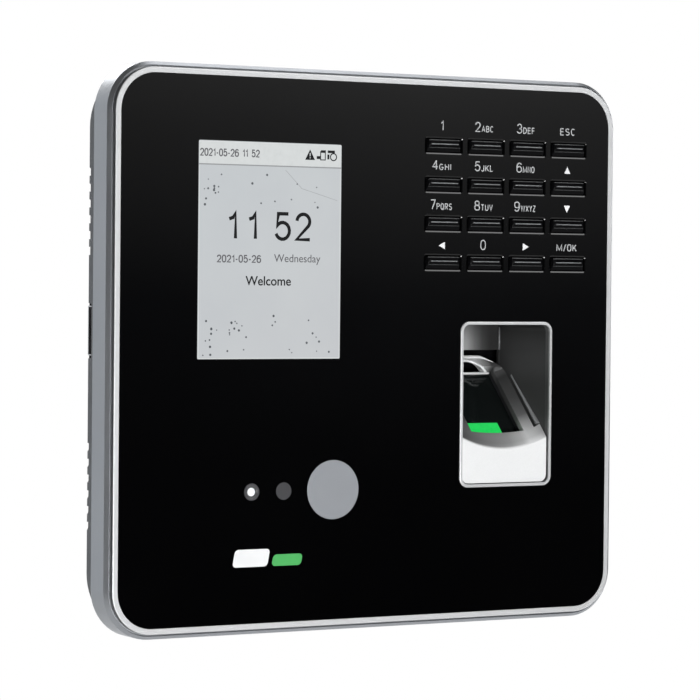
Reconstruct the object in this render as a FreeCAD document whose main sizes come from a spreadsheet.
"""Wall-mounted fingerprint scanner terminal, as a parametric FreeCAD document.

Frame: millimetres, +Z up, +X to the user's right, the front faces -Y. The origin is the centre of the
wall plate's rear face. Depths are counted back from the front plane: y = depth - total_depth.
"""

import FreeCAD, Part

import math
import os

import Sketcher

SIZES = {
    # overall
    "total_width": 160.0,
    "total_height": 151.5,
    "total_depth": 32.0,
    # front panel and its rim
    "panel_width": 153.6,
    "panel_height": 145.4,
    "panel_corner": 10.0,
    "panel_thick": 2.0,
    "rim_width": 1.5,
    "rim_gap": 0.1,
    # front housing
    "lip_gap": 0.55,
    "lip_depth": 1.1,
    "flare_depth": 2.1,
    "flare_width": 1.0,
    "housing_back": 9.7,
    "housing_wall": 2.0,
    "web_thick": 1.5,
    "boss_radius": 3.0,
    "pilot_radius": 1.45,
    # rear cover
    "cover_shoulder": 12.6,
    "cover_back": 29.5,
    "cover_inset": 0.15,
    "cover_taper": 8.85,
    "cover_wall": 2.0,
    "cover_corner": 17.0,
    "cover_back_corner": 13.0,
    "vent_height": 2.2,
    "vent_pitch": 4.15,
    "vent_front": 11.6,
    "vent_back": 20.0,
    "upper_vent": 26.1,
    "lower_vent": -46.2,
    # display
    "screen_x": -32.5,
    "screen_z": 26.7,
    "screen_width": 43.2,
    "screen_height": 57.6,
    "module_width": 50.0,
    "module_height": 69.2,
    "module_drop": 2.5,
    "cell_thick": 1.4,
    "backlight_thick": 2.0,
    # camera windows and light
    "sensor_row": -37.6,
    "camera_x": -37.5,
    "camera_radius": 2.3,
    "infrared_x": -27.75,
    "infrared_radius": 2.35,
    "light_x": -12.5,
    "light_radius": 8.05,
    # keypad
    "key_column": 21.75,
    "key_row": 24.2,
    "key_pitch_x": 13.82,
    "key_pitch_z": 10.73,
    "slot_width": 11.7,
    "slot_height": 4.1,
    "slot_corner": 0.5,
    "slot_bevel": 0.35,
    "slot_bevel_depth": 0.12,
    "key_gap": 0.35,
    "key_sink": 0.25,
    "key_shoulder": 0.45,
    "key_proud": 0.8,
    "key_steep_top": 0.25,
    "key_steep_foot": 1.24,
    "key_steep_end": 0.4,
    "key_ridge": 0.8,
    "key_ridge_width": 0.3,
    "key_hip": 1.1,
    # fingerprint unit
    "finger_x": 43.05,
    "finger_z": -15.1,
    "ring_width": 30.5,
    "ring_height": 46.1,
    "ring_wall": 0.85,
    "ring_corner": 2.8,
    "ring_proud": 0.3,
    "pocket_depth": 24.0,
    "pocket_draft": 2.0,
    "ledge_inset": 13.0,
    "pocket_wall": 1.2,
    "guide_width": 24.0,
    "guide_foot": 28.0,
    "guide_slope": 45.6,
    "guide_face": 0.5,
    "toe_depth": 3.4,
    "toe_corner": 2.0,
    "toe_slope": -24.5,
    "rail_slope": -25.7,
    "ledge_slope": -25.1,
    "crown": -1.7,
    "crown_radius": 21.0,
    "crown_corner": 3.0,
    "scoop_radius": 45.0,
    "scoop_floor": -28.2,
    "pane_depth": 4.7,
    "pane_sink": 1.8,
    "pane_thick": 1.1,
    "pane_width": 17.4,
    "pane_length": 23.8,
    "pane_gap": 0.1,
    # rear bay and wall plate
    "bay_x": -4.0,
    "bay_z": -38.0,
    "bay_width": 56.0,
    "bay_height": 36.0,
    "plate_thick": 1.5,
    "plate_width": 120.0,
    "plate_top": 55.0,
    "plate_low": -60.0,
    "plate_bottom": -73.2,
    "tongue_width": 24.0,
    "wall_hole_x": 80.0,
    "wall_hole_z": 76.0,
    "wall_hole_radius": 2.25,
    "hook_x": 50.0,
    "hook_upper": 36.0,
    "hook_lower": -26.0,
    "hook_width": 8.0,
    "hook_lip": 6.0,
    "lift_travel": 8.0,
    "lock_depth": 25.0,
    "lock_radius": 1.5,
    # electronics
    "board_thick": 1.6,
    "board_front": 17.2,
    "usb_z": 5.1,
    "usb_depth": 14.3,
}

SCREW_PLACES = ((-64.0, 56.0), (4.0, 60.0), (66.0, 14.0), (64.0, -55.0), (-64.0, -55.0))
BOARD_POSTS = ((-68.0, 44.0), (17.0, 44.0), (-68.0, -30.0), (17.0, -12.0))
KEY_NAMES = (
    ("left", "zero", "right", "ok"),
    ("seven", "eight", "nine", "down"),
    ("four", "five", "six", "up"),
    ("one", "two", "three", "esc"),
)

doc = FreeCAD.newDocument("fingerprint_terminal")
sheet = doc.addObject("Spreadsheet::Sheet", "Sizes")


class Size:
    """A number that keeps the sheet formula it comes from, so that objects can be bound to it."""

    def __init__(self, value, text):
        self.value = float(value)
        self.text = text

    def _join(self, other, sign, value):
        if not isinstance(other, Size):
            other = Size(other, repr(float(other)))
        return Size(value(self.value, other.value), f"({self.text} {sign} {other.text})")

    def __add__(self, other):
        return self._join(other, "+", lambda a, b: a + b)

    def __sub__(self, other):
        return self._join(other, "-", lambda a, b: a - b)

    def __mul__(self, other):
        return self._join(other, "*", lambda a, b: a * b)

    def __truediv__(self, other):
        return self._join(other, "/", lambda a, b: a / b)

    def __neg__(self):
        return Size(-self.value, f"(0 - {self.text})")

    def __float__(self):
        return self.value

    __radd__ = __add__
    __rmul__ = __mul__


class Sheet:
    """Attribute access to the driving dimensions: size.total_width and so on."""

    def __getattr__(self, name):
        return Size(SIZES[name], "Sizes." + name)


size = Sheet()
ZERO = Size(0.0, "0.0")  # for things centred on the frame's axes


def fill_sheet():
    for row, (name, value) in enumerate(SIZES.items(), start=1):
        sheet.set(f"A{row}", name)
        sheet.set(f"B{row}", str(value))
        sheet.setAlias(f"B{row}", name)
    doc.recompute()


def bind(thing, prop, value):
    """Bind a property to a Size, or set it when the value is a plain number."""
    if isinstance(value, Size):
        thing.setExpression(prop, value.text)
    elif "." in prop:
        thing.setExpression(prop, repr(float(value)))
    else:
        setattr(thing, prop, value)


def at(depth):
    """Row-frame y of a depth counted back from the front plane."""
    if not isinstance(depth, Size):
        depth = Size(depth, repr(float(depth)))
    return depth - size.total_depth


# ---- PartDesign helpers ---------------------------------------------------------------------------


def new_body(label):
    thing = doc.addObject("PartDesign::Body", label)
    thing.Label = label
    return thing


def new_sketch(body, name, role="XZ_Plane", offset=None):
    """A sketch on one of the body's origin planes. On XZ_Plane, offset is a depth from the front."""
    thing = body.newObject("Sketcher::SketchObject", f"{body.Name}_{name}")
    plane = [item for item in body.Origin.OriginFeatures if item.Role == role][0]
    thing.AttachmentSupport = [(plane, "")]
    thing.MapMode = "FlatFace"
    if offset is not None:
        distance = -at(offset) if role == "XZ_Plane" else offset
        bind(thing, ".AttachmentOffset.Base.z", distance)
    return thing


def fix(sketch, kind, first, value):
    """Add a dimension constraint and bind it to its Size."""
    index = sketch.addConstraint(Sketcher.Constraint(kind, *first, float(value)))
    if isinstance(value, Size):
        name = f"{kind}{index}"
        sketch.renameConstraint(index, name)
        sketch.setExpression(f"Constraints.{name}", value.text)


def add_rectangle(sketch, x, z, width, height, corner=None):
    """A centred rectangle, with round corners if corner is given."""
    left, right = float(x) - float(width) / 2, float(x) + float(width) / 2
    low, high = float(z) - float(height) / 2, float(z) + float(height) / 2
    r = float(corner) if corner is not None else 0.0
    ends = (
        ((left + r, low), (right - r, low)),
        ((right, low + r), (right, high - r)),
        ((right - r, high), (left + r, high)),
        ((left, high - r), (left, low + r)),
    )
    lines = []
    for start, stop in ends:
        edge = Part.LineSegment(FreeCAD.Vector(*start, 0), FreeCAD.Vector(*stop, 0))
        lines.append(sketch.addGeometry(edge, False))
    for index, line in enumerate(lines):
        sketch.addConstraint(Sketcher.Constraint("Horizontal" if index % 2 == 0 else "Vertical", line))
    if corner is None:
        for index in range(4):
            after = lines[(index + 1) % 4]
            sketch.addConstraint(Sketcher.Constraint("Coincident", lines[index], 2, after, 1))
    else:
        centres = ((right - r, low + r), (right - r, high - r), (left + r, high - r), (left + r, low + r))
        arcs = []
        for index, centre in enumerate(centres):
            circle = Part.Circle(FreeCAD.Vector(*centre, 0), FreeCAD.Vector(0, 0, 1), r)
            begin = (index - 1) * math.pi / 2
            arc = Part.ArcOfCircle(circle, begin, begin + math.pi / 2)
            arcs.append(sketch.addGeometry(arc, False))
        for index in range(4):
            after = lines[(index + 1) % 4]
            sketch.addConstraint(Sketcher.Constraint("Tangent", lines[index], 2, arcs[index], 1))
            sketch.addConstraint(Sketcher.Constraint("Tangent", arcs[index], 2, after, 1))
        for arc in arcs[1:]:
            sketch.addConstraint(Sketcher.Constraint("Equal", arcs[0], arc))
        fix(sketch, "Radius", (arcs[0],), corner)
    fix(sketch, "DistanceX", (-1, 1, lines[3], 1), x - width / 2)
    fix(sketch, "DistanceX", (lines[3], 1, lines[1], 1), width)
    fix(sketch, "DistanceY", (-1, 1, lines[0], 1), z - height / 2)
    fix(sketch, "DistanceY", (lines[0], 1, lines[2], 1), height)


def add_circle(sketch, x, z, radius):
    circle = Part.Circle(FreeCAD.Vector(float(x), float(z), 0), FreeCAD.Vector(0, 0, 1), float(radius))
    index = sketch.addGeometry(circle, False)
    fix(sketch, "Radius", (index,), radius)
    fix(sketch, "DistanceX", (-1, 1, index, 3), x)
    fix(sketch, "DistanceY", (-1, 1, index, 3), z)


def add_outline(sketch, points):
    """A closed polygon whose corners are each held by two dimensions."""
    places = [FreeCAD.Vector(float(a), float(b), 0) for a, b in points]
    lines = []
    for index, place in enumerate(places):
        after = places[(index + 1) % len(places)]
        lines.append(sketch.addGeometry(Part.LineSegment(place, after), False))
    for index, line in enumerate(lines):
        after = lines[(index + 1) % len(lines)]
        sketch.addConstraint(Sketcher.Constraint("Coincident", line, 2, after, 1))
        fix(sketch, "DistanceX", (-1, 1, line, 1), points[index][0])
        fix(sketch, "DistanceY", (-1, 1, line, 1), points[index][1])


def add_feature(body, kind, sketch, name, length=None, backwards=False, symmetric=False):
    thing = body.newObject("PartDesign::" + kind, f"{body.Name}_{name}")
    thing.Profile = sketch
    if length is None:
        thing.Type = 1
    else:
        bind(thing, "Length", length)
    thing.Reversed = backwards
    if symmetric:
        thing.Midplane = True
    sketch.Visibility = False
    return thing


def pad(body, sketch, name, length, **options):
    """Pads on XZ_Plane grow back from the sketch, away from the user."""
    options.setdefault("backwards", sketch.AttachmentSupport[0][0].Role == "XZ_Plane")
    return add_feature(body, "Pad", sketch, name, length, **options)


def pocket(body, sketch, name, length=None, **options):
    """Cuts back from the sketch; without a length the cut goes through everything."""
    return add_feature(body, "Pocket", sketch, name, length, **options)


def loft(body, name, sketches, cut=False):
    kind = "SubtractiveLoft" if cut else "AdditiveLoft"
    thing = body.newObject("PartDesign::" + kind, f"{body.Name}_{name}")
    thing.Profile = sketches[0]
    thing.Sections = list(sketches[1:])
    thing.Ruled = True
    return thing


def plate(label, x, z, width, height, front, thick, corner=None):
    """A flat rounded plate as a body: the start of most of the flat pieces."""
    body = new_body(label)
    outline = new_sketch(body, "outline", offset=front)
    add_rectangle(outline, x, z, width, height, corner)
    pad(body, outline, "pad", thick)
    return body


# ---- Part primitive helpers -----------------------------------------------------------------------


def block(name, x, depth, z, width, thick, height):
    """A box from its low corner (x, depth, z)."""
    thing = doc.addObject("Part::Box", name)
    bind(thing, "Length", width)
    bind(thing, "Width", thick)
    bind(thing, "Height", height)
    bind(thing, ".Placement.Base.x", x)
    bind(thing, ".Placement.Base.y", at(depth))
    bind(thing, ".Placement.Base.z", z)
    return thing


def rod(name, x, depth, z, radius, length, along="y"):
    """A cylinder that starts at (x, depth, z) and runs along +x, +y or +z."""
    thing = doc.addObject("Part::Cylinder", name)
    turns = {
        "x": FreeCAD.Rotation(FreeCAD.Vector(0, 1, 0), 90),
        "y": FreeCAD.Rotation(FreeCAD.Vector(1, 0, 0), -90),
        "z": FreeCAD.Rotation(),
    }
    thing.Placement = FreeCAD.Placement(FreeCAD.Vector(), turns[along])
    bind(thing, "Radius", radius)
    bind(thing, "Height", length)
    bind(thing, ".Placement.Base.x", x)
    bind(thing, ".Placement.Base.y", at(depth))
    bind(thing, ".Placement.Base.z", z)
    return thing


def join(label, pieces, kind="Part::MultiFuse"):
    thing = doc.addObject(kind, label)
    thing.Label = label
    if kind == "Part::Compound":
        thing.Links = pieces
    else:
        thing.Shapes = pieces
    return thing


def group(label, pieces):
    """Identical separate solids that share one node."""
    return join(label, pieces, "Part::Compound")


def cut(label, base, tool):
    thing = doc.addObject("Part::Cut", label)
    thing.Label = label
    thing.Base = base
    thing.Tool = tool
    return thing


# ---- front ----------------------------------------------------------------------------------------


def key_places():
    """Yield name, x and z of every key, from the bottom row up."""
    for row, names in enumerate(KEY_NAMES):
        for column, name in enumerate(names):
            x = size.key_column + size.key_pitch_x * column
            z = size.key_row + size.key_pitch_z * row
            yield name, x, z


def front_panel():
    """Glossy panel with the display window, key slots, sensor holes and the fingerprint opening."""
    body = plate(
        "front_panel", ZERO, ZERO, size.panel_width, size.panel_height, 0.0, size.panel_thick,
        size.panel_corner,
    )
    openings = new_sketch(body, "openings", offset=0.0)
    add_rectangle(
        openings, size.screen_x, size.screen_z, size.screen_width + 0.2, size.screen_height + 0.2, 0.4
    )
    add_rectangle(
        openings, size.finger_x, size.finger_z, size.ring_width + 0.1, size.ring_height + 0.1,
        size.ring_corner,
    )
    add_circle(openings, size.camera_x, size.sensor_row, size.camera_radius)
    add_circle(openings, size.infrared_x, size.sensor_row, size.infrared_radius)
    add_circle(openings, size.light_x, size.sensor_row, size.light_radius)
    pocket(body, openings, "openings_cut")
    slot = new_sketch(body, "slot", offset=0.0)
    add_rectangle(slot, size.key_column, size.key_row, size.slot_width, size.slot_height, size.slot_corner)
    slot_cut = pocket(body, slot, "slot_cut")
    # each slot's front edge has a shallow bevel, wider than it is deep
    wide = new_sketch(body, "bevel_wide", offset=0.0)
    bevel = size.slot_bevel * 2
    add_rectangle(
        wide, size.key_column, size.key_row, size.slot_width + bevel, size.slot_height + bevel,
        size.slot_corner + size.slot_bevel,
    )
    narrow = new_sketch(body, "bevel_narrow", offset=size.slot_bevel_depth)
    add_rectangle(
        narrow, size.key_column, size.key_row, size.slot_width, size.slot_height, size.slot_corner
    )
    bevel_cut = loft(body, "bevel_cut", (wide, narrow), cut=True)
    grid = body.newObject("PartDesign::MultiTransform", "front_panel_grid")
    grid.Originals = [slot_cut, bevel_cut]
    across = body.newObject("PartDesign::LinearPattern", "front_panel_across")
    across.Direction = (slot, ["H_Axis"])
    bind(across, "Length", size.key_pitch_x * 3)
    across.Occurrences = 4
    up = body.newObject("PartDesign::LinearPattern", "front_panel_up")
    up.Direction = (slot, ["V_Axis"])
    bind(up, "Length", size.key_pitch_z * 3)
    up.Occurrences = 4
    grid.Transformations = [across, up]
    body.Tip = grid
    return body


def trim_frame():
    """Bright ring round the panel, rounded on its outer front edge."""
    outer_width = size.panel_width + size.rim_width * 2 + size.rim_gap * 2
    outer_height = size.panel_height + size.rim_width * 2 + size.rim_gap * 2
    body = plate(
        "trim_frame", ZERO, ZERO, outer_width, outer_height, 0.0,
        size.panel_thick, size.panel_corner + size.rim_width,
    )
    doc.recompute()
    edges = front_edges(body.Shape)
    rounding = body.newObject("PartDesign::Fillet", "trim_frame_round")
    rounding.Base = (body.Group[-2], edges)
    rounding.Radius = 0.3
    opening = new_sketch(body, "opening", offset=0.0)
    add_rectangle(
        opening, ZERO, ZERO, size.panel_width + size.rim_gap * 2,
        size.panel_height + size.rim_gap * 2, size.panel_corner + size.rim_gap,
    )
    pocket(body, opening, "opening_cut")
    return body


def front_edges(shape):
    """Names of the edges that lie wholly in the shape's foremost plane."""
    front = shape.BoundBox.YMin
    names = []
    for index, edge in enumerate(shape.Edges, start=1):
        if edge.BoundBox.YMax < front + 1e-4:
            names.append(f"Edge{index}")
    return names


def housing_outline(sketch, inset=0.0, corner_cut=0.0):
    """The rounded outline of the whole terminal, drawn in by inset on every side."""
    add_rectangle(
        sketch, ZERO, ZERO, size.total_width - inset * 2, size.total_height - inset * 2,
        size.panel_corner + size.rim_width + 1.6 - corner_cut,
    )


def front_housing():
    """Silver shell: flared front edge, straight side wall and the web that the panel lies on."""
    body = new_body("front_housing")
    side = new_sketch(body, "side", offset=size.flare_depth)
    housing_outline(side)
    pad(body, side, "side_pad", size.housing_back - size.flare_depth)
    flare_back = new_sketch(body, "flare_back", offset=size.flare_depth)
    housing_outline(flare_back)
    flare_front = new_sketch(body, "flare_front", offset=size.lip_depth)
    housing_outline(flare_front, size.flare_width, size.flare_width)
    loft(body, "flare", (flare_back, flare_front))
    seat = new_sketch(body, "seat", offset=0.0)
    reach = size.rim_width * 2 + size.rim_gap * 2 + size.lip_gap * 2
    add_rectangle(
        seat, ZERO, ZERO, size.panel_width + reach, size.panel_height + reach,
        size.panel_corner + size.rim_width + size.lip_gap,
    )
    pocket(body, seat, "seat_cut", size.panel_thick + 0.05)
    hollow = new_sketch(body, "hollow", offset=size.panel_thick + 0.05 + size.web_thick)
    housing_outline(hollow, size.housing_wall, size.housing_wall)
    pocket(body, hollow, "hollow_cut")
    bosses = new_sketch(body, "bosses", offset=size.panel_thick + 0.05)
    for x, z in SCREW_PLACES:
        add_circle(bosses, x, z, size.boss_radius)
    pad(body, bosses, "boss_pad", size.housing_back - size.panel_thick)
    pilots = new_sketch(body, "pilots", offset=size.panel_thick + 1.5)
    for x, z in SCREW_PLACES:
        add_circle(pilots, x, z, size.pilot_radius)
    pocket(body, pilots, "pilot_cut")
    openings = new_sketch(body, "openings", offset=0.0)
    add_rectangle(
        openings, size.screen_x, size.screen_z - size.module_drop, size.module_width + 0.6,
        size.module_height + 0.6,
    )
    add_rectangle(
        openings, size.key_column + size.key_pitch_x * 1.5, size.key_row + size.key_pitch_z * 1.5,
        size.key_pitch_x * 3 + size.slot_width + 4.0, size.key_pitch_z * 3 + size.slot_height + 1.7,
    )
    add_rectangle(
        openings, size.finger_x, size.finger_z, size.ring_width + size.pocket_wall * 2 + 0.2,
        size.ring_height + size.pocket_wall * 2 + 0.2,
    )
    add_rectangle(openings, -32.6, size.sensor_row, 21.0, 10.0, 2.0)
    add_circle(openings, size.light_x, size.sensor_row, size.light_radius + 1.2)
    pocket(body, openings, "openings_cut")
    return body


# ---- rear cover -----------------------------------------------------------------------------------


def cover_section(body, name, depth, inset, corner):
    """One rounded section of the rear cover, drawn in by inset from the full outline."""
    outline = new_sketch(body, name, offset=depth)
    add_rectangle(
        outline, ZERO, ZERO, size.total_width - inset * 2, size.total_height - inset * 2, corner
    )
    return outline


def taper_at(depth):
    """Inset of the cover's outer face at a depth behind the shoulder."""
    return size.cover_inset + size.cover_taper * (depth - size.cover_shoulder) / (
        size.cover_back - size.cover_shoulder
    )


def rear_cover():
    """Dark shell: a straight shoulder and a tapered back, hollow, with bosses, vents and cut-outs."""
    body = new_body("rear_cover")
    shoulder = cover_section(body, "shoulder", size.housing_back, size.cover_inset, size.cover_corner)
    pad(body, shoulder, "shoulder_pad", size.cover_shoulder - size.housing_back)
    outer_front = cover_section(
        body, "outer_front", size.cover_shoulder, size.cover_inset, size.cover_corner
    )
    outer_back = cover_section(
        body, "outer_back", size.cover_back, taper_at(size.cover_back), size.cover_back_corner
    )
    loft(body, "taper", (outer_front, outer_back))
    wall = size.cover_wall
    inner_shoulder = cover_section(
        body, "inner_shoulder", size.housing_back, size.cover_inset + wall, size.cover_corner - wall
    )
    pocket(body, inner_shoulder, "shoulder_cut", size.cover_shoulder - size.housing_back)
    inner_front = cover_section(
        body, "inner_front", size.cover_shoulder, size.cover_inset + wall, size.cover_corner - wall
    )
    floor_depth = size.cover_back - wall
    inner_back = cover_section(
        body, "inner_back", floor_depth, taper_at(floor_depth) + wall, size.cover_back_corner - wall
    )
    loft(body, "hollow", (inner_front, inner_back), cut=True)

    posts = new_sketch(body, "posts", offset=size.housing_back + 0.1)
    for x, z in SCREW_PLACES:
        add_circle(posts, x, z, size.boss_radius + 0.6)
    pad(body, posts, "post_pad", size.cover_back - size.housing_back - 0.6)
    board_posts = new_sketch(body, "board_posts", offset=size.board_front + size.board_thick + 0.05)
    for x, z in BOARD_POSTS:
        add_circle(board_posts, x, z, 2.6)
    pad(body, board_posts, "board_post_pad", size.cover_back - size.board_front - size.board_thick - 0.5)
    lock_boss = new_sketch(body, "lock_boss", "XY_Plane", -size.total_height / 2 + 6.8)
    lock_y = at(size.lock_depth)
    add_rectangle(lock_boss, ZERO, lock_y, 9.0, 8.0, 1.0)
    pad(body, lock_boss, "lock_boss_pad", 8.0)

    shafts = new_sketch(body, "shafts", offset=0.0)
    for x, z in SCREW_PLACES:
        add_circle(shafts, x, z, 1.6)
    for x, z in BOARD_POSTS:
        add_circle(shafts, x, z, 1.05)
    pocket(body, shafts, "shaft_cut", size.cover_back - 3.2)
    through = new_sketch(body, "through", offset=0.0)
    for x, z in SCREW_PLACES:
        add_circle(through, x, z, 1.6)
    add_rectangle(through, size.bay_x, size.bay_z, size.bay_width, size.bay_height, 2.0)
    slot_height = size.lift_travel + size.plate_thick + 0.6
    for side in (-1.0, 1.0):
        for place in (size.hook_upper, size.hook_lower):
            z = place + size.plate_thick + 0.05 - slot_height / 2
            add_rectangle(through, size.hook_x * side, z, size.hook_width + 1.0, slot_height, 0.5)
    add_circle(through, -10.0, 30.0, 1.75)
    add_circle(through, 30.0, 40.0, 1.3)
    pocket(body, through, "through_cut")
    heads = new_sketch(body, "heads", offset=size.cover_back - 2.4)
    for x, z in SCREW_PLACES:
        add_circle(heads, x, z, 3.0)
    pocket(body, heads, "head_cut")

    grille = new_sketch(body, "grille", offset=0.0)
    for ring, count in ((0.0, 1), (3.2, 6), (6.4, 12)):
        for index in range(count):
            angle = 2 * math.pi * index / count
            add_circle(grille, 43.0 + ring * math.cos(angle), -52.5 + ring * math.sin(angle), 0.9)
    pocket(body, grille, "grille_cut")

    lock_hole = new_sketch(body, "lock_hole", "XY_Plane", -size.total_height / 2 + 16.0)
    add_circle(lock_hole, ZERO, lock_y, 2.1)
    pocket(body, lock_hole, "lock_hole_cut", 20.0)

    port = new_sketch(body, "port", "YZ_Plane", -size.total_width / 2 - 1.0)
    add_rectangle(port, at(size.usb_depth), size.usb_z, 7.0, 14.6, 0.8)
    pocket(body, port, "port_cut", 9.0, backwards=True)

    middle = (size.vent_front + size.vent_back) / 2
    for name, side in (("left", -1.0), ("right", 1.0)):
        vents = new_sketch(body, name + "_vents", "YZ_Plane", (size.total_width / 2 + 1.0) * side)
        for first in (size.upper_vent, size.lower_vent):
            for index in range(6):
                z = first + size.vent_pitch * index
                length = size.vent_back - size.vent_front
                add_rectangle(vents, at(middle), z, length, size.vent_height, 0.5)
        pocket(body, vents, name + "_vent_cut", 9.0, backwards=side < 0)
    return body


# ---- display, cameras and light -------------------------------------------------------------------


def display():
    x = size.screen_x
    z = size.screen_z
    plate(
        "display_window", x, z, size.screen_width + 0.1, size.screen_height + 0.1, 0.0,
        size.panel_thick - 0.1, 0.35,
    )
    drop = size.module_drop
    cell_front = size.panel_thick + 0.1
    plate("display_cell", x, z - drop, size.module_width, size.module_height, cell_front, size.cell_thick)
    light_front = cell_front + size.cell_thick
    plate(
        "display_backlight", x, z - drop, size.module_width, size.module_height, light_front,
        size.backlight_thick, 0.5,
    )
    # the flex leaves the foot of the module and turns back to the main board
    body = new_body("display_flex")
    path = new_sketch(body, "path", "YZ_Plane", size.screen_x - 9.0)
    foot = size.screen_z - drop - size.module_height / 2
    near = at(light_front + size.backlight_thick + 0.05)
    far = at(size.board_front - 0.05)
    tail = foot + 6.0
    points = (
        (near, tail), (near, foot - 2.0), (far, foot - 2.0), (far, foot + 4.0),
        (far - 0.3, foot + 4.0), (far - 0.3, foot - 1.7), (near + 0.3, foot - 1.7), (near + 0.3, tail),
    )
    add_outline(path, points)
    pad(body, path, "pad", 18.0)


def lens(label, x, z, radius):
    """A small round window, flush with the panel, with a flange behind it."""
    front = rod(label + "_face", x, 0.05, z, radius - 0.05, size.panel_thick + 0.05)
    flange = rod(label + "_flange", x, size.panel_thick + 0.05, z, radius + 0.9, 0.8)
    return join(label, [front, flange])


def camera_barrel(label, x, z):
    """A stepped lens barrel behind its window, with the lens cup at its front."""
    nose = rod(label + "_nose", x, 3.2, z, 3.2, 1.6)
    holder = block(label + "_holder", x - 4.2, 4.6, z - 4.2, 8.4, 3.4, 8.4)
    cup = rod(label + "_cup", x, 3.0, z, 2.2, 1.0)
    return cut(label, join(label + "_solid", [nose, holder]), cup)


def cameras():
    row = size.sensor_row
    lens("camera_window", size.camera_x, row, size.camera_radius)
    lens("ir_window", size.infrared_x, row, size.infrared_radius)
    camera_barrel("camera_barrel", size.camera_x, row)
    camera_barrel("ir_barrel", size.infrared_x, row)
    middle = (size.camera_x + size.infrared_x) / 2
    plate("camera_board", middle, row, 24.0, 13.0, 8.05, 1.0, 1.0)


def fill_light():
    row = size.sensor_row
    lens("light_diffuser", size.light_x, row, size.light_radius)
    leds = []
    for index in range(6):
        angle = math.pi * index / 3
        x = size.light_x + 4.6 * math.cos(angle) - 1.4
        z = row + 4.6 * math.sin(angle) - 1.4
        leds.append(block(f"light_led_{index}", x, 5.2, z, 2.8, 0.8, 2.8))
    group("light_leds", leds)
    body = new_body("light_board")
    outline = new_sketch(body, "outline", offset=6.05)
    add_circle(outline, size.light_x, row, 9.0)
    pad(body, outline, "pad", 1.0)


# ---- keypad ---------------------------------------------------------------------------------------


def key_cap(name, x, z):
    """A bar key: ridged cap on a steep-sided plinth, skirt through the slot, flange and plunger."""
    body = new_body("key_" + name)
    width = size.slot_width - size.key_gap * 2
    height = size.slot_height - size.key_gap * 2
    skirt = new_sketch(body, "skirt", offset=size.key_sink)
    add_rectangle(skirt, x, z, width, height, 0.3)
    pad(body, skirt, "skirt_pad", size.panel_thick - size.key_sink + 0.3)
    base = new_sketch(body, "base", offset=size.key_sink)
    add_rectangle(base, x, z, width, height, 0.3)
    shoulder = new_sketch(body, "shoulder", offset=-size.key_shoulder)
    shoulder_height = height - size.key_steep_top - size.key_steep_foot
    shoulder_z = z + (size.key_steep_foot - size.key_steep_top) / 2
    add_rectangle(shoulder, x, shoulder_z, width - size.key_steep_end * 2, shoulder_height, 0.25)
    loft(body, "plinth", (base, shoulder))
    cap_base = new_sketch(body, "cap_base", offset=-size.key_shoulder)
    add_rectangle(cap_base, x, shoulder_z, width - size.key_steep_end * 2, shoulder_height, 0.25)
    ridge = new_sketch(body, "ridge", offset=-size.key_proud)
    ridge_z = z + size.key_ridge
    add_rectangle(ridge, x, ridge_z, width - size.key_hip * 2, size.key_ridge_width, 0.12)
    loft(body, "cap", (cap_base, ridge))
    flange = new_sketch(body, "flange", offset=size.panel_thick + 0.05)
    add_rectangle(flange, x, z, width + 2.2, height + 2.0, 0.4)
    pad(body, flange, "flange_pad", 1.0)
    plunger = new_sketch(body, "plunger", offset=size.panel_thick + 1.0)
    add_circle(plunger, x, z, 1.2)
    pad(body, plunger, "plunger_pad", 1.1)
    return body


def keypad():
    for name, x, z in key_places():
        key_cap(name, x, z)
    middle_x = size.key_column + size.key_pitch_x * 1.5
    middle_z = size.key_row + size.key_pitch_z * 1.5
    width = size.key_pitch_x * 3 + 15.0
    height = size.key_pitch_z * 3 + 6.4
    mat = plate("key_mat", middle_x, middle_z, width, height, 5.05, 0.5, 1.0)
    pucks = new_sketch(mat, "pucks", offset=5.3)
    for _, x, z in key_places():
        add_circle(pucks, x, z, 1.5)
    pad(mat, pucks, "puck_pad", 0.7)
    domes = []
    for name, x, z in key_places():
        domes.append(rod("dome_" + name, x, 6.05, z, 2.4, 0.3))
    group("key_domes", domes)
    board_front = 6.4
    plate("keypad_board", middle_x, middle_z, width, height, board_front, size.board_thick, 1.0)
    # the ribbon runs from the keypad board's rear face to the main board's edge
    body = new_body("keypad_ribbon")
    path = new_sketch(body, "path", "XY_Plane", size.key_row + 1.5)
    near = at(Size(board_front, repr(board_front)) + size.board_thick + 0.05)
    far = at(size.board_front - 0.05)
    left = 11.5
    turn = 20.0
    points = (
        (26.0, near), (turn, near), (turn, far - 0.3), (left, far - 0.3), (left, far),
        (turn + 0.3, far), (turn + 0.3, near + 0.3), (26.0, near + 0.3),
    )
    add_outline(path, points)
    pad(body, path, "pad", 14.0)


# ---- fingerprint unit -----------------------------------------------------------------------------


def finger_bezel():
    """Silver ring round the finger recess, slightly proud of the panel."""
    body = plate(
        "finger_bezel", size.finger_x, size.finger_z, size.ring_width, size.ring_height,
        -size.ring_proud, size.panel_thick + size.ring_proud, size.ring_corner,
    )
    doc.recompute()
    rounding = body.newObject("PartDesign::Fillet", "finger_bezel_round")
    rounding.Base = (body.Group[-2], front_edges(body.Shape))
    rounding.Radius = 0.35
    opening = new_sketch(body, "opening", offset=-size.ring_proud - 1.0)
    wall = size.ring_wall * 2
    add_rectangle(
        opening, size.finger_x, size.finger_z, size.ring_width - wall, size.ring_height - wall,
        size.ring_corner - size.ring_wall,
    )
    pocket(body, opening, "opening_cut")
    return body


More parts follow.
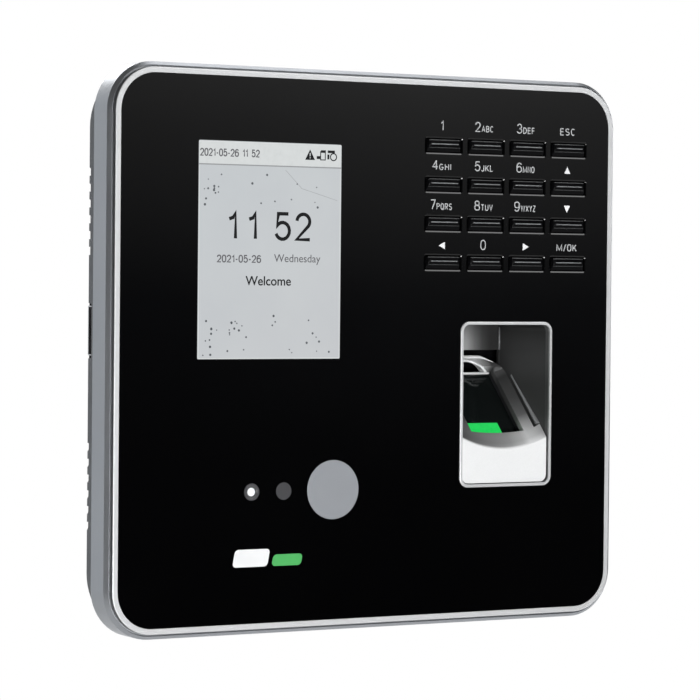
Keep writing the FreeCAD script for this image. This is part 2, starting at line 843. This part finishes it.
def finger_pocket():
    """Deep drafted liner: four walls, sloped side ledges and a back wall above the guide only."""
    body = new_body("finger_pocket")
    front = size.panel_thick + 0.05
    x = size.finger_x
    z = size.finger_z
    width = size.ring_width - size.ring_wall * 2
    height = size.ring_height - size.ring_wall * 2
    wall = size.pocket_wall * 2
    draft = size.pocket_draft * 2
    corner = size.ring_corner - size.ring_wall
    outer_front = new_sketch(body, "outer_front", offset=front)
    add_rectangle(outer_front, x, z, width + wall, height + wall, corner + size.pocket_wall)
    outer_back = new_sketch(body, "outer_back", offset=size.pocket_depth)
    add_rectangle(outer_back, x, z, width + wall - draft, height + wall, corner + size.pocket_wall)
    loft(body, "outside", (outer_front, outer_back))
    floor_depth = size.pocket_depth - size.pocket_wall
    inner_front = new_sketch(body, "inner_front", offset=front)
    add_rectangle(inner_front, x, z, width, height, corner)
    inner_back = new_sketch(body, "inner_back", offset=floor_depth)
    add_rectangle(inner_back, x, z, width - draft, height, corner)
    loft(body, "inside", (inner_front, inner_back), cut=True)
    ledge_top = slope_line(size.ledge_slope)
    ledge_front = size.guide_face + size.toe_depth + 0.2
    ledge_foot = size.finger_z - size.ring_height / 2 + size.ring_wall + 2.0
    for name, side in (("left", -1.0), ("right", 1.0)):
        edge = x + (size.ring_width / 2) * side
        ledge = new_sketch(body, name + "_ledge", "YZ_Plane", edge)
        ledge_points = (
            (at(ledge_front), ledge_foot), (at(ledge_front), ledge_top(ledge_front)),
            (at(floor_depth), ledge_top(floor_depth)), (at(floor_depth), ledge_foot),
        )
        add_outline(ledge, ledge_points)
        reach = size.ring_width / 2 - size.ledge_inset
        pad(body, ledge, name + "_ledge_pad", reach, backwards=side > 0)
    window = new_sketch(body, "window", offset=floor_depth - 2.0)
    low = size.finger_z - size.ring_height / 2 + 4.0
    high = size.crown + 1.2
    add_rectangle(window, x, (low + high) / 2, size.guide_width + 0.6, high - low)
    pocket(body, window, "window_cut")
    return body


def slope_line(start):
    """Height of a sloped plane at a depth, for a plane that meets the front plane at z = start."""
    rise = math.tan(math.radians(SIZES["guide_slope"]))
    return lambda depth: start + depth * rise


def add_arch(sketch, x, low, top, half_width, crown_radius, corner):
    """An outline with a flat foot, upright sides and a crowned top with round corners."""
    rise = math.sqrt((float(crown_radius) - float(corner)) ** 2 - (float(half_width) - float(corner)) ** 2)
    middle = FreeCAD.Vector(float(x), float(top) - float(crown_radius), 0)
    lean = math.atan2(rise, float(half_width) - float(corner))
    side = float(half_width) - float(corner)
    right_centre = FreeCAD.Vector(float(x) + side, middle.y + rise, 0)
    left_centre = FreeCAD.Vector(float(x) - side, middle.y + rise, 0)
    left, right = float(x) - float(half_width), float(x) + float(half_width)
    foot_left = FreeCAD.Vector(left, float(low), 0)
    foot_right = FreeCAD.Vector(right, float(low), 0)
    up = FreeCAD.Vector(0, 0, 1)
    foot = sketch.addGeometry(Part.LineSegment(foot_left, foot_right), False)
    right_top = FreeCAD.Vector(right, right_centre.y, 0)
    right_side = sketch.addGeometry(Part.LineSegment(foot_right, right_top), False)
    right_round = Part.ArcOfCircle(Part.Circle(right_centre, up, float(corner)), 0, lean)
    right_arc = sketch.addGeometry(right_round, False)
    crown = Part.ArcOfCircle(Part.Circle(middle, up, float(crown_radius)), lean, math.pi - lean)
    crown_arc = sketch.addGeometry(crown, False)
    left_round = Part.ArcOfCircle(Part.Circle(left_centre, up, float(corner)), math.pi - lean, math.pi)
    left_arc = sketch.addGeometry(left_round, False)
    left_top = FreeCAD.Vector(left, left_centre.y, 0)
    left_side = sketch.addGeometry(Part.LineSegment(left_top, foot_left), False)
    sketch.addConstraint(Sketcher.Constraint("Horizontal", foot))
    sketch.addConstraint(Sketcher.Constraint("Vertical", right_side))
    sketch.addConstraint(Sketcher.Constraint("Vertical", left_side))
    sketch.addConstraint(Sketcher.Constraint("Coincident", foot, 2, right_side, 1))
    sketch.addConstraint(Sketcher.Constraint("Coincident", left_side, 2, foot, 1))
    chain = (right_side, right_arc, crown_arc, left_arc, left_side)
    for before, after in zip(chain, chain[1:]):
        sketch.addConstraint(Sketcher.Constraint("Tangent", before, 2, after, 1))
    sketch.addConstraint(Sketcher.Constraint("Equal", right_arc, left_arc))
    fix(sketch, "Radius", (right_arc,), corner)
    fix(sketch, "Radius", (crown_arc,), crown_radius)
    fix(sketch, "DistanceX", (-1, 1, crown_arc, 3), x)
    fix(sketch, "DistanceY", (-1, 1, crown_arc, 3), top - crown_radius)
    fix(sketch, "DistanceX", (-1, 1, right_side, 1), x + half_width)
    fix(sketch, "DistanceX", (-1, 1, foot, 1), x - half_width)
    fix(sketch, "DistanceY", (-1, 1, foot, 1), low)


def guide_foot_height():
    return size.finger_z - size.ring_height / 2 + size.ring_wall + 0.25


def guide_back():
    return size.pocket_depth - size.pocket_wall


def guide_toe():
    """The bright upright face under the slope, as wide as the ring's opening."""
    foot = guide_foot_height()
    height = size.toe_slope - foot + 8.0
    toe = plate(
        "guide_toe", size.finger_x, foot + height / 2, size.guide_foot, height, size.guide_face,
        size.toe_depth, size.toe_corner,
    )
    above = new_sketch(toe, "above", "YZ_Plane", size.finger_x - size.guide_foot)
    plane = slope_line(size.toe_slope)
    front = size.guide_face - 1.0
    back = size.guide_face + size.toe_depth + 1.0
    top = foot + 30.0
    points = ((at(front), plane(front)), (at(back), plane(back)), (at(back), top), (at(front), top))
    add_outline(above, points)
    pocket(toe, above, "above_cut", size.guide_foot * 2, backwards=True)
    return toe


def guide_wedge():
    """The slope behind the toe, trimmed by the arched outline of the fingertip stop."""
    foot = guide_foot_height()
    back = guide_back()
    plane = slope_line(size.rail_slope)
    wedge = new_body("guide_wedge")
    profile = new_sketch(wedge, "profile", "YZ_Plane", size.finger_x - size.guide_width / 2)
    start = size.guide_face + 0.5
    low = foot + 3.2
    points = ((at(start), low), (at(start), plane(start)), (at(back), plane(back)), (at(back), low))
    add_outline(profile, points)
    pad(wedge, profile, "pad", size.guide_width)
    arch = new_body("guide_arch")
    outline = new_sketch(arch, "outline", offset=0.0)
    half = size.guide_width / 2
    add_arch(outline, size.finger_x, foot, size.crown, half, size.crown_radius, size.crown_corner)
    pad(arch, outline, "pad", size.pocket_depth)
    trimmed = doc.addObject("Part::Common", "guide_trimmed")
    trimmed.Base = wedge
    trimmed.Tool = arch
    return trimmed


def guide_hollow():
    """Space under the slope for the optics, open at the back."""
    foot = guide_foot_height()
    back = guide_back()
    under = slope_line(size.scoop_floor - 5.6)
    inner = size.guide_face + 2.0
    roof_back = back - 3.0
    floor = foot + 4.8
    hollow = new_body("guide_hollow")
    outline = new_sketch(hollow, "outline", "YZ_Plane", size.finger_x - size.guide_width / 2 + 1.6)
    points = (
        (at(inner), floor), (at(inner), under(inner)), (at(roof_back), under(roof_back)),
        (at(back + 1.0), under(roof_back)), (at(back + 1.0), floor),
    )
    add_outline(outline, points)
    pad(hollow, outline, "pad", size.guide_width - 3.2)
    return hollow


def tip_niche():
    """The dark arched niche above the sensor window, open to the space behind the guide."""
    low = -6.9
    radius = 6.6
    front = guide_back() - 4.0
    arch = rod("niche_arch", size.finger_x, front, size.crown - 1.9 - radius, radius, 6.0)
    limit = block("niche_limit", size.finger_x - radius, front - 1.0, low, radius * 2, 8.0, 10.0)
    niche = doc.addObject("Part::Common", "tip_niche")
    niche.Base = arch
    niche.Tool = limit
    return niche


def slope_placement(across, depth, lift):
    """Placement on the scoop's floor line: local x across, y up the slope, z out of it."""
    angle = SIZES["guide_slope"]
    turn = math.radians(angle)
    y = depth - SIZES["total_depth"]
    z = SIZES["scoop_floor"] + depth * math.tan(turn)
    normal = FreeCAD.Vector(0, -math.sin(turn), math.cos(turn))
    place = FreeCAD.Vector(SIZES["finger_x"] + across, y, z) + normal * lift
    return FreeCAD.Placement(place, FreeCAD.Rotation(FreeCAD.Vector(1, 0, 0), angle))


def sloped_block(label, width, length, thick, depth, top):
    """A box that lies along the slope, centred across it; top is its face's height over the floor."""
    thing = doc.addObject("Part::Box", label)
    thing.Label = label
    bind(thing, "Length", width)
    bind(thing, "Width", length)
    bind(thing, "Height", thick)
    thing.Placement = slope_placement(-float(width) / 2, depth, top - float(thick))
    return thing


def finger_scoop():
    """The cylinder that hollows the slope across its width, up to the fingertip stop."""
    thing = doc.addObject("Part::Cylinder", "finger_scoop")
    bind(thing, "Radius", size.scoop_radius)
    thing.Height = 60.0
    start = slope_placement(0.0, -14.0, SIZES["scoop_radius"])
    turn = FreeCAD.Rotation(FreeCAD.Vector(1, 0, 0), SIZES["guide_slope"] - 90)
    thing.Placement = FreeCAD.Placement(start.Base, turn)
    limit = block("scoop_limit", size.finger_x - 25.0, -2.0, -45.0, 50.0, guide_back() - 1.0, 60.0)
    scoop = doc.addObject("Part::Common", "finger_scoop_cut")
    scoop.Base = thing
    scoop.Tool = limit
    return scoop


def finger_guide():
    """Silver guide: toe and slope with a scooped top, the sensor's seat and the fingertip niche."""
    solid = join("guide_solid", [guide_toe(), guide_wedge()])
    gap = size.pane_gap
    face = -SIZES["pane_sink"]
    rear = face - SIZES["pane_thick"]
    seat_top = 5.6
    seat_thick = seat_top - rear + SIZES["pane_gap"]
    seat = sloped_block(
        "pane_seat", size.pane_width + gap, size.pane_length + gap, seat_thick, SIZES["pane_depth"],
        seat_top,
    )
    shaft = sloped_block("prism_shaft", 13.0, 18.0, 8.0, 7.4, 0.0)
    openings = join("guide_openings", [finger_scoop(), guide_hollow(), tip_niche(), seat, shaft])
    cut("finger_guide", solid, openings)
    pane_start = SIZES["pane_depth"] + SIZES["pane_gap"] * 0.35
    sloped_block(
        "finger_window", size.pane_width, size.pane_length, size.pane_thick, pane_start, face
    )
    sloped_block("finger_prism", 12.6, 17.6, 3.4, 7.55, rear - 0.05)
    sloped_block("finger_board", 18.0, 13.0, 1.2, 10.0, rear - 3.6)


def sensor_ribbon():
    """Ribbon from the hollow of the guide round the pocket's back to the main board."""
    body = new_body("sensor_ribbon")
    path = new_sketch(body, "path", "XY_Plane", -24.5)
    start, turn, end = 36.0, 24.0, 15.0
    thick = 0.3
    inside, behind = at(21.0), at(size.pocket_depth + 0.4)
    board = at(size.board_front + size.board_thick + 0.05)
    points = (
        (start, inside), (start, behind + thick), (turn, behind + thick), (turn, board + thick),
        (end, board + thick), (end, board), (turn + thick, board), (turn + thick, behind),
        (start - thick, behind), (start - thick, inside),
    )
    add_outline(path, points)
    pad(body, path, "pad", 6.0)


# ---- electronics ----------------------------------------------------------------------------------


def main_board():
    """Main board with holes for its four screws."""
    left, right = -72.0, 22.0
    low, high = -42.0, 50.0
    body = plate(
        "main_board", (left + right) / 2, (low + high) / 2, right - left, high - low,
        size.board_front, size.board_thick, 2.0,
    )
    holes = new_sketch(body, "holes", offset=size.board_front)
    for x, z in BOARD_POSTS:
        add_circle(holes, x, z, 1.5)
    pocket(body, holes, "hole_cut")


def board_parts():
    front = size.board_front
    chips = (
        (-40.0, 20.0, 14.0, 14.0, 1.4), (-20.0, 22.0, 10.0, 8.0, 1.0), (-40.0, 40.0, 12.0, 6.0, 1.2),
        (-14.0, -10.0, 9.0, 9.0, 1.0), (4.0, 0.0, 8.0, 10.0, 3.0),
    )
    solids = []
    for index, (x, z, width, height, thick) in enumerate(chips):
        solids.append(block(f"chip_{index}", x, front - thick - 0.02, z, width, thick, height))
    group("board_chips", solids)

    cell = rod("cell_body", -52.0, 13.6, -26.0, 10.0, 3.2)
    rest = rod("cell_ring", -52.0, 13.3, -26.0, 8.8, 3.85)
    join("backup_cell", [cell, rest])

    jack_box = block("jack_box", -28.0, 19.0, -42.0, 16.0, 8.3, 17.0)
    jack_hole = block("jack_hole", -25.9, 20.2, -43.0, 11.8, 6.4, 13.0)
    cut("network_jack", jack_box, jack_hole)

    header_box = block("header_box", -6.0, 18.9, -36.0, 24.0, 7.4, 10.0)
    header_slot = block("header_slot", -5.0, 21.0, -35.0, 22.0, 6.0, 8.0)
    shroud = cut("header_shroud", header_box, header_slot)
    pins = []
    for index in range(8):
        pins.append(block(f"header_pin_{index}", -3.2 + 2.5 * index, 20.5, -31.3, 0.7, 5.0, 0.7))
    join("wiring_header", [shroud] + pins)

    usb_x = -size.total_width / 2 + 2.2
    depth = size.usb_depth
    shell = block("usb_outer", usb_x, depth - 2.85, size.usb_z - 6.55, 14.0, 5.7, 13.1)
    bore = block("usb_bore", usb_x - 1.0, depth - 2.55, size.usb_z - 6.25, 14.5, 5.1, 12.5)
    cut("usb_shell", shell, bore)
    block("usb_tongue", usb_x + 1.0, depth + 0.2, size.usb_z - 5.6, 12.3, 1.8, 11.2)

    magnet = rod("speaker_magnet", 43.0, 21.2, -52.5, 6.5, 3.0)
    basket = rod("speaker_basket", 43.0, 24.2, -52.5, 10.0, 3.2)
    dish = doc.addObject("Part::Cone", "speaker_dish")
    dish.Radius1 = 3.5
    dish.Radius2 = 9.0
    dish.Height = 2.0
    mouth = FreeCAD.Vector(43.0, 25.5 - SIZES["total_depth"], -52.5)
    dish.Placement = FreeCAD.Placement(mouth, FreeCAD.Rotation(FreeCAD.Vector(1, 0, 0), -90))
    cut("speaker", join("speaker_solid", [magnet, basket]), dish)


def small_switches():
    """Tamper switch pressed by the wall plate, and the reset button reached through the back."""
    box = block("tamper_box", -13.5, 18.85, 26.5, 7.0, 5.2, 7.0)
    bore = rod("tamper_bore", -10.0, 19.8, 30.0, 1.75, 6.0)
    cut("tamper_housing", box, bore)
    stem = rod("tamper_stem", -10.0, 21.6, 30.0, 1.5, 8.8)
    join("tamper_plunger", [stem, rod("tamper_collar", -10.0, 25.0, 30.0, 2.4, 0.8)])
    foot = block("reset_foot", 22.4, 18.85, 37.0, 3.0, 1.0, 6.0)
    reset_box = block("reset_box", 25.0, 18.85, 35.0, 10.0, 4.0, 10.0)
    reset_bore = rod("reset_bore", 30.0, 20.3, 40.0, 1.8, 4.0)
    cut("reset_housing", join("reset_solid", [reset_box, foot]), reset_bore)
    rod("reset_button", 30.0, 21.0, 40.0, 1.6, 3.4)


# ---- fasteners ------------------------------------------------------------------------------------


def screw(name, x, z, head_depth, head_radius, head_thick, radius, length):
    """A screw along Y, its head towards the wall and a cross recess in the head."""
    head = rod(name + "_head", x, head_depth, z, head_radius, head_thick)
    shank = rod(name + "_shank", x, head_depth - length, z, radius, length + 0.01)
    solid = join(name + "_solid", [head, shank])
    wide = block(name + "_slot_a", x - head_radius * 0.6, head_depth + head_thick * 0.5, z - 0.3,
                 head_radius * 1.2, head_thick, 0.6)
    tall = block(name + "_slot_b", x - 0.3, head_depth + head_thick * 0.5, z - head_radius * 0.6,
                 0.6, head_thick, head_radius * 1.2)
    return cut(name, solid, join(name + "_cross", [wide, tall]))


def fasteners():
    solids = []
    for index, (x, z) in enumerate(SCREW_PLACES):
        head = SIZES["cover_back"] - 2.38
        solids.append(screw(f"housing_screw_{index}", x, z, head, 2.7, 1.8, 1.4, 20.0))
    group("housing_screws", solids)
    solids = []
    for index, (x, z) in enumerate(BOARD_POSTS):
        head = rod(f"board_screw_head_{index}", x, 15.7, z, 2.3, 1.45)
        shank = rod(f"board_screw_shank_{index}", x, 17.1, z, 1.0, 7.0)
        solids.append(join(f"board_screw_{index}", [head, shank]))
    group("board_screws", solids)


# ---- wall plate and lock screw --------------------------------------------------------------------


def wall_plate():
    """Bent steel plate: wall holes, cable opening, four upturned hooks and a locking flange."""
    back = size.total_depth
    front = back - size.plate_thick
    middle = (size.plate_top + size.plate_low) / 2
    body = plate(
        "wall_plate", ZERO, middle, size.plate_width, size.plate_top - size.plate_low, front,
        size.plate_thick, 5.0,
    )
    tongue = new_sketch(body, "tongue", offset=front)
    tongue_top = size.plate_low + 4.0
    tongue_middle = (tongue_top + size.plate_bottom) / 2
    add_rectangle(tongue, ZERO, tongue_middle, size.tongue_width, tongue_top - size.plate_bottom)
    pad(body, tongue, "tongue_pad", size.plate_thick)
    stems = new_sketch(body, "stems", offset=size.cover_back - size.cover_wall - 2.0)
    lips = new_sketch(body, "lips", offset=size.cover_back - size.cover_wall - 2.0)
    for side in (-1.0, 1.0):
        for place in (size.hook_upper, size.hook_lower):
            x = size.hook_x * side
            add_rectangle(stems, x, place + size.plate_thick / 2, size.hook_width, size.plate_thick)
            tall = size.hook_lip + size.plate_thick
            add_rectangle(lips, x, place + tall / 2, size.hook_width, tall)
    pad(body, stems, "stem_pad", size.cover_wall + 2.0 + 1.2)
    pad(body, lips, "lip_pad", size.plate_thick)
    flange = new_sketch(body, "flange", "XY_Plane", size.plate_bottom)
    reach = size.total_depth - size.lock_depth + 4.0
    add_rectangle(flange, ZERO, -reach / 2, size.tongue_width, reach, 0.6)
    pad(body, flange, "flange_pad", size.plate_thick)
    holes = new_sketch(body, "holes", offset=front - 0.5)
    for side in (-1.0, 1.0):
        for up in (-1.0, 1.0):
            add_circle(holes, size.wall_hole_x / 2 * side, size.wall_hole_z / 2 * up, size.wall_hole_radius)
    add_rectangle(holes, size.bay_x, size.bay_z, size.bay_width, size.bay_height, 3.0)
    pocket(body, holes, "hole_cut")
    lock = new_sketch(body, "lock", "XY_Plane", size.plate_bottom + 3.0)
    add_circle(lock, ZERO, at(size.lock_depth), size.lock_radius + 0.15)
    pocket(body, lock, "lock_cut", 6.0)
    return body


def lock_parts():
    """Brass insert in the cover's boss and the screw that locks the terminal to the flange."""
    bottom = SIZES["plate_bottom"]
    y = SIZES["lock_depth"]
    insert_low = -SIZES["total_height"] / 2 + 7.4
    sleeve = rod("insert_sleeve", 0.0, y, insert_low, 2.05, 5.0, along="z")
    bore = rod("insert_bore", 0.0, y, insert_low - 1.0, size.lock_radius + 0.1, 8.0, along="z")
    cut("lock_insert", sleeve, bore)
    head = rod("lock_head", 0.0, y, bottom - 2.25, 3.0, 2.2, along="z")
    shank = rod("lock_shank", 0.0, y, bottom - 0.1, size.lock_radius, 10.0, along="z")
    socket = doc.addObject("Part::Prism", "lock_socket")
    socket.Polygon = 6
    socket.Circumradius = 1.45
    socket.Height = 1.4
    socket.Placement.Base = FreeCAD.Vector(0.0, y - SIZES["total_depth"], bottom - 2.6)
    cut("lock_screw", join("lock_solid", [head, shank]), socket)


# ---- build, check and write -----------------------------------------------------------------------

NODES = (
    ["wall_plate", "lock_screw", "lock_insert", "front_panel", "trim_frame", "front_housing", "rear_cover"]
    + ["display_window", "display_cell", "display_backlight", "display_flex"]
    + ["camera_window", "camera_barrel", "ir_window", "ir_barrel", "camera_board"]
    + ["light_diffuser", "light_leds", "light_board"]
    + ["key_mat", "keypad_board", "key_domes", "keypad_ribbon"]
    + ["finger_bezel", "finger_pocket", "finger_guide", "finger_window", "finger_prism"]
    + ["finger_board", "sensor_ribbon", "main_board", "board_chips", "board_screws", "housing_screws"]
    + ["network_jack", "wiring_header", "usb_shell", "usb_tongue", "speaker", "backup_cell"]
    + ["tamper_housing", "tamper_plunger", "reset_housing", "reset_button"]
    + ["key_" + name for names in KEY_NAMES for name in names]
)


def check_document():
    for thing in doc.Objects:
        if "Invalid" in thing.State or "Error" in thing.State:
            raise SystemExit(f"{thing.Name} failed: {thing.State}")


def write_parts():
    os.makedirs("parts", exist_ok=True)
    for name in NODES:
        found = doc.getObjectsByLabel(name)
        if len(found) != 1:
            raise SystemExit(f"{name}: {len(found)} objects have this label")
        shape = found[0].Shape
        if shape.isNull() or not shape.isValid() or not shape.Solids:
            raise SystemExit(f"{name}: its shape is null or not valid")
        shape.exportStep(os.path.join("parts", name + ".step"))
        print(f"{name}: {len(shape.Solids)} solid(s), {shape.Volume / 1000:.3f} cm3")


fill_sheet()
front_panel()
trim_frame()
front_housing()
rear_cover()
display()
cameras()
fill_light()
keypad()
finger_bezel()
finger_pocket()
finger_guide()
sensor_ribbon()
main_board()
board_parts()
small_switches()
fasteners()
wall_plate()
lock_parts()
doc.recompute()
check_document()
write_parts()
